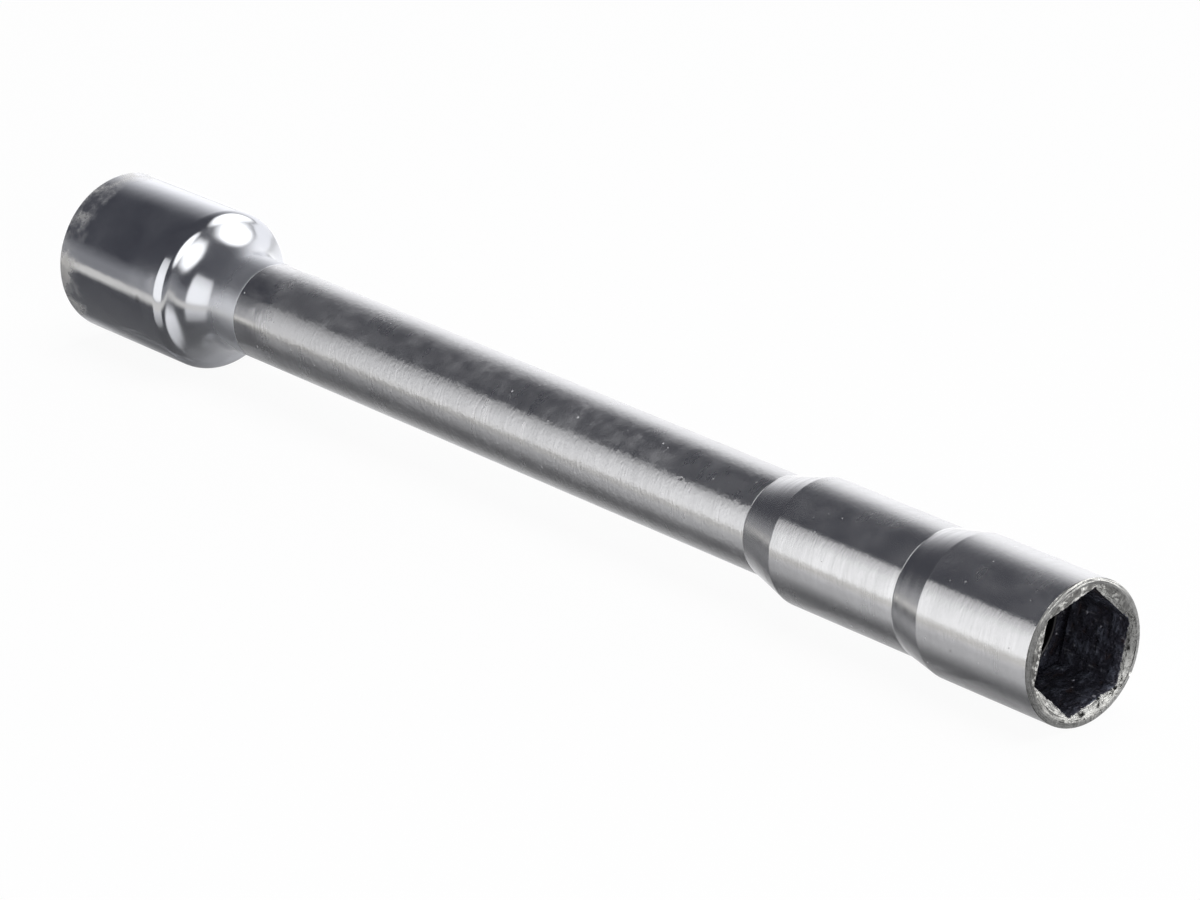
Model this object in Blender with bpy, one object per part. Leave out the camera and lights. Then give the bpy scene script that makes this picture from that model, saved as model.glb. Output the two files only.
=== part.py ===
"""Spark plug wrench: drive head, bar shaft, barrel and hex nose joined in line, with a rubber plug grip.

Each piece is turned about its own Z axis, from the drive end towards the mouth. The empty wrench_axis lays
that line along world X, with the middle of the wrench at the origin. Lengths are in metres.
"""

import math

import bmesh
import bpy

# Drive head
SQUARE_ACROSS_FLATS = 0.01276
SQUARE_DEPTH = 0.017
SQUARE_LEAD_IN = 0.0008
DETENT_SETBACK = 0.0055
DETENT_WIDTH = 0.0042
DETENT_DEPTH = 0.0010
PILOT_BORE_DIAMETER = 0.0124
PILOT_CHIP_ROOM = 0.003
DRILL_POINT_ANGLE = math.radians(118)
HEAD_DIAMETER = 0.026
HEAD_LENGTH = 0.0253
HEAD_EDGE_ROUND = 0.0008
SHOULDER_ROUND = 0.0024
SHOULDER_ANGLE = math.radians(64.6734)
NECK_LENGTH = 0.0061

# Shaft, with a turned-down spigot at each end
SHAFT_DIAMETER = 0.0157
SHAFT_LENGTH = 0.1216
SPIGOT_SHOULDER = 0.0019
HEAD_SPIGOT_LENGTH = 0.012
BARREL_SPIGOT_LENGTH = 0.0085
SPIGOT_CHAMFER = 0.0008

# Hex nose
HEX_ACROSS_FLATS = 0.0162
HEX_DEPTH = 0.012
HEX_CLOCKING = math.radians(14)
NOSE_CORNER_WALL = 0.00165
NOSE_TAPER_LENGTH = 0.0061
MOUTH_EDGE_ROUND = 0.0004
RELIEF_DEPTH = 0.0003
RELIEF_WIDTH = 0.0025
LAND_LENGTH = 0.0052
LAND_HEIGHT = 0.0009

# Barrel, with a spigot that carries the nose
NOSE_STEP = 0.00115
BARREL_WALL = 0.00285
BARREL_TAPER_LENGTH = 0.0078
BARREL_BODY_LENGTH = 0.0262
NOSE_SPIGOT_SHOULDER = 0.0011
NOSE_SPIGOT_LENGTH = 0.007

# Rubber plug grip
GRIP_WALL = 0.0017
GRIP_LENGTH = 0.015
GRIP_FLANGE_THICKNESS = 0.002
GRIP_RIB_HEIGHT = 0.0005
GRIP_RIB_WIDTH = 0.0018
GRIP_RIBS = 3
GRIP_LEAD_IN = 0.0009

# Clearance between joined pieces, and how far a cutter runs past the face that it opens
JOINT_GAP = 0.0003
CUT_OVERRUN = 0.002

# Facets of a full turn, facets of a rounded edge and of a large arc
TURN_FACETS = 60
EDGE_FACETS = 3
ARC_FACETS = 6
WELD = 1e-7

# Radii that the pieces share
head_radius = HEAD_DIAMETER / 2
shaft_radius = SHAFT_DIAMETER / 2
spigot_radius = shaft_radius - SPIGOT_SHOULDER
square_corner_radius = SQUARE_ACROSS_FLATS / math.sqrt(2)
hex_corner_radius = HEX_ACROSS_FLATS / math.sqrt(3)
nose_radius = hex_corner_radius + NOSE_CORNER_WALL
barrel_radius = nose_radius - NOSE_STEP
cavity_radius = barrel_radius - BARREL_WALL
nose_spigot_radius = barrel_radius - NOSE_SPIGOT_SHOULDER
nose_bore_radius = nose_spigot_radius + JOINT_GAP

# Lengths along the axis that the pieces share
neck_fillet = (head_radius - shaft_radius) / (1 - math.cos(SHOULDER_ANGLE)) - SHOULDER_ROUND
shoulder_length = (SHOULDER_ROUND + neck_fillet) * math.sin(SHOULDER_ANGLE)
neck_end = HEAD_LENGTH + shoulder_length + NECK_LENGTH
barrel_length = BARREL_TAPER_LENGTH + BARREL_BODY_LENGTH
nose_bore_depth = NOSE_SPIGOT_LENGTH + GRIP_FLANGE_THICKNESS + JOINT_GAP
nose_length = nose_bore_depth + LAND_LENGTH + RELIEF_WIDTH + HEX_DEPTH
shaft_start = neck_end + JOINT_GAP
barrel_start = shaft_start + SHAFT_LENGTH + JOINT_GAP
nose_start = barrel_start + barrel_length + JOINT_GAP
overall_length = nose_start + nose_length


def clear_scene():
    for leftover in list(bpy.data.objects):
        bpy.data.objects.remove(leftover, do_unlink=True)


def finish(name, colour, roughness, metallic):
    """A Principled material for one piece."""
    material = bpy.data.materials.new(name)
    material.use_nodes = True
    shader = material.node_tree.nodes["Principled BSDF"]
    shader.inputs["Base Color"].default_value = (*colour, 1.0)
    shader.inputs["Roughness"].default_value = roughness
    shader.inputs["Metallic"].default_value = metallic
    return material


def arc(centre_radius, centre_height, radius, start, end, facets):
    """Outline points round a centre; angles in degrees, 0 pointing outwards and 90 towards the mouth."""
    points = []
    for step in range(facets + 1):
        angle = math.radians(start + (end - start) * step / facets)
        points.append((centre_radius + radius * math.cos(angle), centre_height + radius * math.sin(angle)))
    return points


def add_object(name, shape, parent, height):
    """A mesh object from a bmesh, shaded smooth with its sharp edges kept, at a height along the axis."""
    mesh = bpy.data.meshes.new(name)
    shape.to_mesh(mesh)
    shape.free()
    mesh.shade_smooth()
    mesh.set_sharp_from_angle(angle=math.radians(30))
    piece = bpy.data.objects.new(name, mesh)
    bpy.context.scene.collection.objects.link(piece)
    piece.parent = parent
    piece.location = (0.0, 0.0, height)
    return piece


def turned(name, outline, parent, height):
    """A piece of revolution. The outline is (radius, height) points: a loop, or a path from axis to axis."""
    shape = bmesh.new()
    points = [shape.verts.new((radius, 0.0, along)) for radius, along in outline]
    followers = points[1:]
    if outline[0][0] > 0:
        followers.append(points[0])
    edges = [shape.edges.new(pair) for pair in zip(points, followers)]
    bmesh.ops.spin(
        shape,
        geom=points + edges,
        cent=(0.0, 0.0, 0.0),
        axis=(0.0, 0.0, 1.0),
        angle=2 * math.pi,
        steps=TURN_FACETS,
        use_merge=True,
    )
    bmesh.ops.remove_doubles(shape, verts=shape.verts, dist=WELD)
    bmesh.ops.recalc_face_normals(shape, faces=shape.faces)
    return add_object(name, shape, parent, height)


def broach(name, sides, low_radius, high_radius, low, high, clocking, parent):
    """A flat-sided cutter between two heights, with corners at the given radii, the first one along X."""
    shape = bmesh.new()
    bmesh.ops.create_cone(
        shape,
        cap_ends=True,
        segments=sides,
        radius1=low_radius,
        radius2=high_radius,
        depth=high - low,
    )
    cutter = add_object(name, shape, parent, (low + high) / 2)
    first_corner_made_along_y = math.pi / 2
    cutter.rotation_euler = (0.0, 0.0, clocking - first_corner_made_along_y)
    return cutter


def cut(piece, cutter):
    """Takes the cutter's shape out of the piece, and leaves the cutter as a wire guide."""
    cutter.hide_render = True
    cutter.display_type = "WIRE"
    modifier = piece.modifiers.new(cutter.name, "BOOLEAN")
    modifier.operation = "DIFFERENCE"
    modifier.solver = "EXACT"
    modifier.object = cutter


def make_drive_head(axis, start):
    """Polished head with a rounded shoulder and filleted neck, bored for the shaft and broached square."""
    edge = HEAD_EDGE_ROUND
    turn = math.degrees(SHOULDER_ANGLE)
    fillet_height = HEAD_LENGTH + shoulder_length
    bore_radius = spigot_radius + JOINT_GAP
    bore_end = neck_end - HEAD_SPIGOT_LENGTH
    pilot_radius = PILOT_BORE_DIAMETER / 2
    pilot_end = SQUARE_DEPTH + PILOT_CHIP_ROOM
    drill_point = pilot_end + pilot_radius / math.tan(DRILL_POINT_ANGLE / 2)
    outline = [(0.0, drill_point), (pilot_radius, pilot_end), (pilot_radius, 0.0)]
    outline += arc(head_radius - edge, edge, edge, -90, 0, EDGE_FACETS)
    outline += arc(head_radius - SHOULDER_ROUND, HEAD_LENGTH, SHOULDER_ROUND, 0, turn, ARC_FACETS)
    outline += arc(shaft_radius + neck_fillet, fillet_height, neck_fillet, 180 + turn, 180, ARC_FACETS)[1:]
    outline += [(shaft_radius, neck_end), (bore_radius, neck_end), (bore_radius, bore_end), (0.0, bore_end)]
    head = turned("drive_head", outline, axis, start)

    flats_turned = math.radians(45)
    corner = square_corner_radius
    low, high = start - CUT_OVERRUN, start + SQUARE_DEPTH
    cut(head, broach("square_broach", 4, corner, corner, low, high, flats_turned, axis))

    wide = corner + (SQUARE_LEAD_IN + CUT_OVERRUN) * math.sqrt(2)
    high = start + SQUARE_LEAD_IN
    cut(head, broach("square_countersink", 4, wide, corner, low, high, flats_turned, axis))

    detent_radius = SQUARE_ACROSS_FLATS / 2 + DETENT_DEPTH
    low = start + DETENT_SETBACK
    high = low + DETENT_WIDTH
    cut(head, broach("detent_cutter", TURN_FACETS, detent_radius, detent_radius, low, high, 0.0, axis))
    return head


def make_shaft(axis, start):
    """Solid bar with a spigot for the head behind it and one for the barrel in front."""
    end = SHAFT_LENGTH
    tip = spigot_radius - SPIGOT_CHAMFER
    behind = -HEAD_SPIGOT_LENGTH
    front = end + BARREL_SPIGOT_LENGTH
    outline = [
        (0.0, behind),
        (tip, behind),
        (spigot_radius, behind + SPIGOT_CHAMFER),
        (spigot_radius, 0.0),
        (shaft_radius, 0.0),
        (shaft_radius, end),
        (spigot_radius, end),
        (spigot_radius, front - SPIGOT_CHAMFER),
        (tip, front),
        (0.0, front),
    ]
    return turned("shaft", outline, axis, start)


def make_barrel(axis, start):
    """Stepped tube: a cone up from the shaft, the plug's terminal room inside, and a spigot for the nose."""
    bore_radius = spigot_radius + JOINT_GAP
    bore_end = BARREL_SPIGOT_LENGTH
    front = barrel_length + NOSE_SPIGOT_LENGTH
    outline = [
        (bore_radius, 0.0),
        (shaft_radius, 0.0),
        (barrel_radius, BARREL_TAPER_LENGTH),
        (barrel_radius, barrel_length),
        (nose_spigot_radius, barrel_length),
        (nose_spigot_radius, front),
        (cavity_radius, front),
        (cavity_radius, bore_end),
        (bore_radius, bore_end),
    ]
    return turned("barrel", outline, axis, start)


def make_hex_nose(axis, start):
    """Socket end: a cone up from the barrel, a land that traps the grip, chip relief and broached hexagon."""
    edge = MOUTH_EDGE_ROUND
    mouth = nose_length
    hex_start = mouth - HEX_DEPTH
    relief_start = hex_start - RELIEF_WIDTH
    relief_radius = hex_corner_radius + RELIEF_DEPTH
    land_radius = nose_bore_radius - LAND_HEIGHT
    outline = [
        (0.0, hex_start),
        (relief_radius, hex_start),
        (relief_radius, relief_start),
        (land_radius, relief_start),
        (land_radius, nose_bore_depth),
        (nose_bore_radius, nose_bore_depth),
        (nose_bore_radius, 0.0),
        (barrel_radius, 0.0),
        (nose_radius, NOSE_TAPER_LENGTH),
    ]
    outline += arc(nose_radius - edge, mouth - edge, edge, 0, 90, EDGE_FACETS)
    outline += [(0.0, mouth)]
    nose = turned("hex_nose", outline, axis, start)

    corner = hex_corner_radius
    low = start + hex_start - RELIEF_WIDTH / 2
    high = start + mouth + CUT_OVERRUN
    cut(nose, broach("hex_broach", 6, corner, corner, low, high, -HEX_CLOCKING, axis))
    return nose


def make_plug_grip(axis, start):
    """Rubber bush in the barrel's mouth: the nose traps its flange, and its ribs grip the insulator."""
    outer_radius = cavity_radius - JOINT_GAP
    bore_radius = outer_radius - GRIP_WALL
    flange_radius = nose_bore_radius - JOINT_GAP
    flange_end = GRIP_FLANGE_THICKNESS
    back = flange_end - GRIP_LENGTH
    rib_pitch = GRIP_LENGTH / (GRIP_RIBS + 1)
    outline = [(bore_radius, back), (outer_radius, back), (outer_radius, 0.0), (flange_radius, 0.0)]
    outline += [(flange_radius, flange_end), (bore_radius + GRIP_LEAD_IN, flange_end)]
    outline += [(bore_radius, flange_end - GRIP_LEAD_IN)]
    for rib in range(GRIP_RIBS):
        middle = flange_end - rib_pitch * (rib + 1)
        half = GRIP_RIB_WIDTH / 2
        outline += [(bore_radius, middle + half), (bore_radius - GRIP_RIB_HEIGHT, middle)]
        outline += [(bore_radius, middle - half)]
    return turned("plug_grip", outline, axis, start)


def main():
    clear_scene()
    axis = bpy.data.objects.new("wrench_axis", None)
    bpy.context.scene.collection.objects.link(axis)
    axis.rotation_euler = (0.0, math.pi / 2, 0.0)
    axis.location = (-overall_length / 2, 0.0, 0.0)

    polished = finish("polished_chrome", (0.52, 0.53, 0.55), 0.12, 1.0)
    shaft_steel = finish("satin_shaft_steel", (0.50, 0.50, 0.50), 0.30, 1.0)
    barrel_steel = finish("satin_barrel_steel", (0.52, 0.52, 0.52), 0.26, 1.0)
    nose_steel = finish("satin_nose_steel", (0.52, 0.52, 0.52), 0.26, 1.0)
    rubber = finish("black_rubber", (0.018, 0.018, 0.018), 0.75, 0.0)

    grip_start = nose_start + NOSE_SPIGOT_LENGTH
    make_drive_head(axis, 0.0).data.materials.append(polished)
    make_shaft(axis, shaft_start).data.materials.append(shaft_steel)
    make_barrel(axis, barrel_start).data.materials.append(barrel_steel)
    make_hex_nose(axis, nose_start).data.materials.append(nose_steel)
    make_plug_grip(axis, grip_start).data.materials.append(rubber)


main()
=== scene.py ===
"""Finished pieces of a spark plug wrench and a studio to show it in.

Laid out as an add-on, and run as a script.
"""

import math

import bmesh
import bpy
from bpy.props import FloatProperty, FloatVectorProperty, PointerProperty
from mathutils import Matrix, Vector


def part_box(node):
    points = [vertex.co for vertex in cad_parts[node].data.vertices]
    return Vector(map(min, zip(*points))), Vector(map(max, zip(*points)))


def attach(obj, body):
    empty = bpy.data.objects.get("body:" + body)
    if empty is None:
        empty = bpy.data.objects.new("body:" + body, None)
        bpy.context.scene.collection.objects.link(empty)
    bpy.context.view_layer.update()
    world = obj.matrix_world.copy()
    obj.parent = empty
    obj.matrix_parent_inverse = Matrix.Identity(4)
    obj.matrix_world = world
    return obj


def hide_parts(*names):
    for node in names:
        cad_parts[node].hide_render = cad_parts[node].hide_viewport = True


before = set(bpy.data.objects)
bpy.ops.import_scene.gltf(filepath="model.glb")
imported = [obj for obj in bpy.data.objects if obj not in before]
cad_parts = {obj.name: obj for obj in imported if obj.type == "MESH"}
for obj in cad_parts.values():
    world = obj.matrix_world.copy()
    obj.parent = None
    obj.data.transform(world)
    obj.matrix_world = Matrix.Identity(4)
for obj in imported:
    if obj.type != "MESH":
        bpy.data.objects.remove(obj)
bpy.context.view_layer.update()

bl_info = {
    "name": "Spark Plug Wrench",
    "version": (1, 0, 0),
    "blender": (4, 5, 0),
    "location": "3D View > Sidebar > Wrench",
    "description": "Models the finished pieces of a spark plug wrench and a studio to show it in",
    "category": "Add Mesh",
}

# Places and radii that the frame gives, along X from the drive face to the mouth
HEAD_LOW, HEAD_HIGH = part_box("drive_head")
SHAFT_LOW, SHAFT_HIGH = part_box("shaft")
BARREL_LOW, BARREL_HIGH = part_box("barrel")
NOSE_LOW, NOSE_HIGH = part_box("hex_nose")
GRIP_LOW, GRIP_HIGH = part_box("plug_grip")
DRIVE_FACE = HEAD_LOW.x
MOUTH = NOSE_HIGH.x
HEAD_RADIUS = HEAD_HIGH.z
SHAFT_RADIUS = SHAFT_HIGH.z
BARREL_RADIUS = BARREL_HIGH.z
NOSE_RADIUS = NOSE_HIGH.z

# Points round a turned piece, and points of a rounded corner
SIDES = 192
MOUTH_SIDES = 384
ROUND_STEPS = 8
CORNER_STEPS = 4

# Distances under which points are one point, or lie on one plane
WELD = 2e-6
NEAR = 1e-5

# How far a face is dished round its hole
FACE_DISH = 1e-4

# Angle up to which two faces are shaded as one
SMOOTH_ANGLE = math.radians(30)

# Colours that wear, stains and dirt lay over a finish, with painted highlight, painted shade, a painted
# reflection and painted glints among them
SCUFFED_PLATING = (0.66, 0.65, 0.63)
PLATING_PIT = (0.2, 0.2, 0.21)
STEEL_PIT = (0.2, 0.2, 0.2)
STEEL_DUST = (0.7, 0.7, 0.71)
# Rubbed steel of the mouth, also used for the painted highlight along its top edge
RIM_RUBBED_AND_HIGHLIGHT = (0.9, 0.895, 0.86)
# Painted shade low on the far side of the mouth
RIM_PAINTED_SHADE = (0.12, 0.12, 0.118)
RIM_PIT = (0.015, 0.015, 0.015)
# Painted bluish reflection in the hexagon's walls
PAINTED_BLUE_REFLECTION = (0.13, 0.14, 0.18)
BROWN_STAIN = (0.08, 0.05, 0.04)
# Bare steel of torn places, also the colour of the painted glints
BARE_STEEL_AND_GLINT = (0.55, 0.55, 0.6)
RUBBER_BLOOM = (0.035, 0.035, 0.034)

# Colours of the cones and of the bores, each with that of its tool lines
CONE_STEEL = (0.6, 0.6, 0.61)
CONE_LINES = (0.47, 0.47, 0.48)
BORE_STEEL = (0.09, 0.09, 0.095)
BORE_STREAK = (0.17, 0.165, 0.16)

# Colours that the metal mirrors
WHITE_SWEEP = (1.6, 1.6, 1.63)
TABLE_FROM_ABOVE = (0.17, 0.17, 0.17)
TABLE_AT_A_SLANT = (0.9, 0.9, 0.91)
# A painted band of white light on the table before the wrench
PAINTED_LIGHT_BAND = (1.0, 0.98, 0.93)


# Settings

def length(name, description, default):
    """A length in metres that a user can change."""
    return FloatProperty(
        name=name, description=description, default=default, min=0.0, precision=5, unit="LENGTH"
    )


def angle(name, description, degrees):
    """An angle that a user can change."""
    return FloatProperty(name=name, description=description, default=math.radians(degrees), unit="ROTATION")


def share(name, description, default):
    """A value from 0 to 1 that a user can change."""
    return FloatProperty(
        name=name, description=description, default=default, min=0.0, max=1.0, subtype="FACTOR"
    )


def colour(name, description, default):
    """A colour that a user can change."""
    return FloatVectorProperty(
        name=name, description=description, default=default, min=0.0, max=1.0, size=3, subtype="COLOR"
    )


def place(name, description, default):
    """A point in the part's frame that a user can change."""
    return FloatVectorProperty(
        name=name, description=description, default=default, size=3, subtype="TRANSLATION", unit="LENGTH"
    )


class JointSettings(bpy.types.PropertyGroup):
    """Sizes where one steel piece meets the next"""

    gap: length("Solid gap", "Room that the solids leave at each joint", 0.0003)
    seam: length("Seam", "What still shows of that gap between two finished pieces", 0.00005)
    seam_round: length("Seam round", "Rounding of the edges at a seam", 0.00012)
    spigot_shoulder: length("Spigot shoulder", "How far a shaft spigot is turned down", 0.0019)
    spigot_chamfer: length("Spigot chamfer", "Chamfer at a spigot's tip", 0.0008)
    nose_spigot_shoulder: length("Nose spigot shoulder", "The same for the barrel's spigot", 0.0011)


class HeadSettings(bpy.types.PropertyGroup):
    """Sizes and finish of the drive head"""

    cylinder_length: length("Cylinder length", "From the drive face to the start of the shoulder", 0.0253)
    edge_round: length("Edge round", "Rounding at the drive face", 0.0008)
    shoulder_round: length("Shoulder round", "Radius of the convex shoulder", 0.0024)
    neck_fillet: length("Neck fillet", "Radius of the hollow between shoulder and neck", 0.0066)
    square_across_flats: length("Square", "Across the flats of the square drive", 0.01276)
    square_corner_round: length("Square corner", "Rounding of the square's corners", 0.0005)
    square_depth: length("Square depth", "Depth of the square drive", 0.017)
    lead_in: length("Lead-in", "Chamfer at the mouth of the square", 0.0008)
    detent_setback: length("Detent setback", "From the drive face to the ball detent pockets", 0.0055)
    detent_width: length("Detent width", "Width of the ball detent pockets", 0.0042)
    detent_depth: length("Detent depth", "Depth of the ball detent pockets", 0.001)
    pilot_diameter: length("Pilot bore", "Diameter of the bore drilled before broaching", 0.0124)
    chip_room: length("Chip room", "Bore past the end of the square", 0.003)
    drill_point: angle("Drill point", "Angle of the cone that the drill leaves", 118)
    chrome: colour("Chrome", "Colour of the polished plating", (0.56, 0.57, 0.6))
    polish: share("Polish", "Roughness of the polished plating", 0.1)
    dull_length: length("Dull band", "Length of the duller band at the drive face", 0.0044)


class ShaftSettings(bpy.types.PropertyGroup):
    """Finish of the shaft"""

    steel: colour("Shaft steel", "Colour of the ground shaft", (0.6, 0.6, 0.61))
    grind: share("Shaft grind", "Roughness of the ground shaft", 0.3)
    unevenness: share("Unevenness", "How wavy the ground surface is", 0.8)
    polished_length: length("Polished end", "Length by the head where the shaft is still polished", 0.0062)


class BarrelSettings(bpy.types.PropertyGroup):
    """Sizes and finish of the barrel"""

    taper_length: length("Cone length", "Length of the cone up from the shaft", 0.0078)
    taper_blend: length("Cone blend", "Radius that blends the cone into the body", 0.0015)
    wall: length("Wall", "Thickness of the tube's wall", 0.00285)
    bore_depth: length("Bore depth", "Depth of the bore for the shaft's spigot", 0.0085)
    steel: colour("Barrel steel", "Colour of the ground barrel", (0.62, 0.62, 0.63))
    grind: share("Barrel grind", "Roughness of the ground barrel", 0.25)
    unevenness: share("Unevenness", "How wavy the ground surface is", 0.25)


class NoseSettings(bpy.types.PropertyGroup):
    """Sizes and finish of the socket end"""

    taper_length: length("Cone length", "Length of the cone up from the barrel", 0.0061)
    taper_blend: length("Cone blend", "Radius that blends the cone into the body", 0.0015)
    rim_bevel: length("Rim bevel", "Width of the bevel round the mouth's outer edge", 0.0009)
    rim_bevel_depth: length("Rim bevel depth", "How far back along the axis that bevel reaches", 0.0004)
    rim_round: length("Rim round", "Rounding of both edges of that bevel", 0.0002)
    hex_across_flats: length("Hexagon", "Across the flats of the hexagon", 0.0162)
    hex_corner_round: length("Hexagon corner", "Rounding of the hexagon's corners", 0.0003)
    hex_depth: length("Hexagon depth", "Depth of the hexagon", 0.012)
    hex_lead_in: length("Hexagon lead-in", "Chamfer at the mouth of the hexagon", 0.0006)
    hex_clocking: angle("Hexagon clocking", "How far its top corner leans away from the viewer", 14)
    relief_depth: length("Relief depth", "How far the chip relief is turned past the corners", 0.0003)
    land_length: length("Land length", "Length of the land that traps the grip", 0.0052)
    land_height: length("Land height", "Step between the bore and the land", 0.0009)
    rim_wear: length("Rim wear", "How far the mouth's edge is worn and nicked", 0.0002)
    worn_length: length("Worn length", "How far back from the mouth the wear reaches", 0.0018)
    steel: colour("Nose steel", "Colour of the ground nose", (0.63, 0.63, 0.64))
    grind: share("Nose grind", "Roughness of the ground nose", 0.25)
    unevenness: share("Unevenness", "How wavy the ground surface is", 0.2)
    rim: colour("Rim", "Colour of the worn mouth face", (0.2, 0.198, 0.19))
    bevel: colour("Rim bevel colour", "Colour of the mouth's dull outer bevel", (0.25, 0.25, 0.245))
    rubbed: colour("Rubbed lead-in", "Colour of the chamfer that plugs rub bright", (0.66, 0.66, 0.64))
    broached: colour("Broached steel", "Colour of the blackened hexagon", (0.045, 0.045, 0.06))


class GripSettings(bpy.types.PropertyGroup):
    """Sizes and finish of the rubber plug grip"""

    wall: length("Wall", "Thickness of the rubber", 0.0017)
    flange: length("Flange", "Thickness of the flange that the nose traps", 0.002)
    rib_height: length("Rib height", "How far a rib stands into the bore", 0.0005)
    rib_width: length("Rib width", "Width of a rib along the bore", 0.0018)
    lead_in: length("Lead-in", "Chamfer at the front of the bore", 0.0009)
    edge_round: length("Edge round", "Rounding of the rubber's edges", 0.0003)
    rubber: colour("Rubber", "Colour of the rubber", (0.018, 0.018, 0.018))


class StudioSettings(bpy.types.PropertyGroup):
    """Camera, floor and light"""

    lens: FloatProperty(
        name="Lens", description="Focal length on a 36 mm sensor", default=209.8, unit="CAMERA"
    )
    aim: place("Aim", "Point on the axis at the middle of the picture", (0.0076, 0.0, 0.0))
    distance: length("Distance", "From the camera to the aim", 1.0472)
    azimuth: angle("Azimuth", "Turn of the camera from the front towards the mouth", 50)
    elevation: angle("Elevation", "Height of the camera above the horizon", 20.68)
    floor: colour("Floor", "Colour of the floor", (0.86, 0.86, 0.86))
    room: colour("Room", "Colour of the dim room over the wrench", (0.075, 0.077, 0.092))


# Modelling by hand

def start_fresh():
    """Leaves edit mode with nothing selected."""
    if bpy.context.mode != "OBJECT":
        bpy.ops.object.mode_set(mode="OBJECT")
    bpy.ops.object.select_all(action="DESELECT")


def rounded(corners):
    """Outline points from (station, radius, rounding) corners, each rounding drawn as a tangent arc."""
    points = []
    for index, (station, radius, rounding) in enumerate(corners):
        corner = Vector((station, radius))
        if rounding == 0.0:
            points.append(corner)
            continue
        before = Vector(corners[index - 1][:2]) - corner
        after = Vector(corners[(index + 1) % len(corners)][:2]) - corner
        before.normalize()
        after.normalize()
        half = before.angle(after) / 2
        reach = rounding / math.tan(half)
        centre = corner + (before + after).normalized() * rounding / math.sin(half)
        first = corner + before * reach - centre
        last = corner + after * reach - centre
        sweep = first.angle(last)
        for step in range(ROUND_STEPS + 1):
            part = sweep * step / ROUND_STEPS
            spoke = first * math.sin(sweep - part) + last * math.sin(part)
            points.append(centre + spoke / math.sin(sweep))
    return points


def turned(name, outline, sides=SIDES):
    """Draws an outline over the axis by extruding one point along it, then spins it round X."""
    start_fresh()
    start = outline[0]
    bpy.ops.mesh.primitive_circle_add(vertices=3, radius=WELD, location=(start.x, 0.0, start.y))
    piece = bpy.context.active_object
    piece.name = name
    piece.data.name = name
    bpy.ops.object.transform_apply(location=True, rotation=True, scale=True)
    bpy.ops.object.mode_set(mode="EDIT")
    bpy.ops.mesh.select_all(action="SELECT")
    bpy.ops.mesh.merge(type="CENTER")
    for here, there in zip(outline, outline[1:]):
        step = there - here
        bpy.ops.mesh.extrude_vertices_move(TRANSFORM_OT_translate={"value": (step.x, 0.0, step.y)})
    bpy.ops.mesh.select_all(action="SELECT")
    bpy.ops.mesh.spin(steps=sides, angle=math.tau, center=(0.0, 0.0, 0.0), axis=(1.0, 0.0, 0.0))
    bpy.ops.mesh.select_all(action="SELECT")
    bpy.ops.mesh.remove_doubles(threshold=WELD)
    bpy.ops.mesh.normals_make_consistent(inside=False)
    bpy.ops.object.mode_set(mode="OBJECT")
    return piece


def closed(outline):
    """The outline with its first point again at the end, for a ring-shaped section."""
    return outline + outline[:1]


def pick_edges(piece, wanted):
    """Selects, in edit mode, just the edges that pass a test."""
    bpy.ops.mesh.select_mode(type="EDGE")
    bpy.ops.mesh.select_all(action="DESELECT")
    shape = bmesh.from_edit_mesh(piece.data)
    for edge in shape.edges:
        if wanted(edge):
            edge.select_set(True)
    bmesh.update_edit_mesh(piece.data)


def open_between(low, high):
    """A test for open edges that lie across the axis, from one station to another."""
    def wanted(edge):
        is_open = len(edge.link_faces) < 2
        return is_open and all(low - NEAR < point.co.x < high + NEAR for point in edge.verts)
    return wanted


def add_flat_sided_ring(piece, station, corners, corner_radius, corner_round, turn, points):
    """Adds, in edit mode, a polygon across the axis with rounded corners and a given number of points."""
    bpy.ops.mesh.select_mode(type="VERT")
    bpy.ops.mesh.select_all(action="DESELECT")
    bpy.ops.mesh.primitive_circle_add(
        vertices=corners,
        radius=corner_radius,
        fill_type="NGON",
        location=(station, 0.0, 0.0),
        rotation=(0.0, math.pi / 2, 0.0),
    )
    bpy.ops.transform.rotate(value=turn, orient_axis="X", center_override=(station, 0.0, 0.0))
    bpy.ops.mesh.bevel(affect="VERTICES", offset=corner_round, segments=CORNER_STEPS)
    bpy.ops.mesh.delete(type="ONLY_FACE")
    cuts = points // corners - CORNER_STEPS - 1
    shortest_side = corner_radius / 3
    on_plane = open_between(station, station)

    def loose(edge):
        return on_plane(edge) and not edge.link_faces

    pick_edges(piece, lambda edge: loose(edge) and edge.calc_length() > shortest_side)
    bpy.ops.mesh.subdivide(number_cuts=cuts)
    pick_edges(piece, loose)


def push_ring(distance, scale=1.0, station=0.0):
    """Extrudes the selected ring along the axis and draws it in or out."""
    bpy.ops.mesh.extrude_edges_move(TRANSFORM_OT_translate={"value": (distance, 0.0, 0.0)})
    if scale != 1.0:
        bpy.ops.transform.resize(value=(1.0, scale, scale), center_override=(station, 0.0, 0.0))


def bridge_between(piece, low, high, cuts=0):
    """Closes the face between the two open rings that lie between two stations."""
    pick_edges(piece, open_between(low, high))
    bpy.ops.mesh.bridge_edge_loops(number_cuts=cuts, interpolation="LINEAR")


def weld_and_face_out():
    """Merges doubled points, turns the faces outwards and goes back to object mode."""
    bpy.ops.mesh.select_mode(type="VERT")
    bpy.ops.mesh.select_all(action="SELECT")
    bpy.ops.mesh.remove_doubles(threshold=WELD)
    bpy.ops.mesh.normals_make_consistent(inside=False)
    bpy.ops.object.mode_set(mode="OBJECT")


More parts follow.
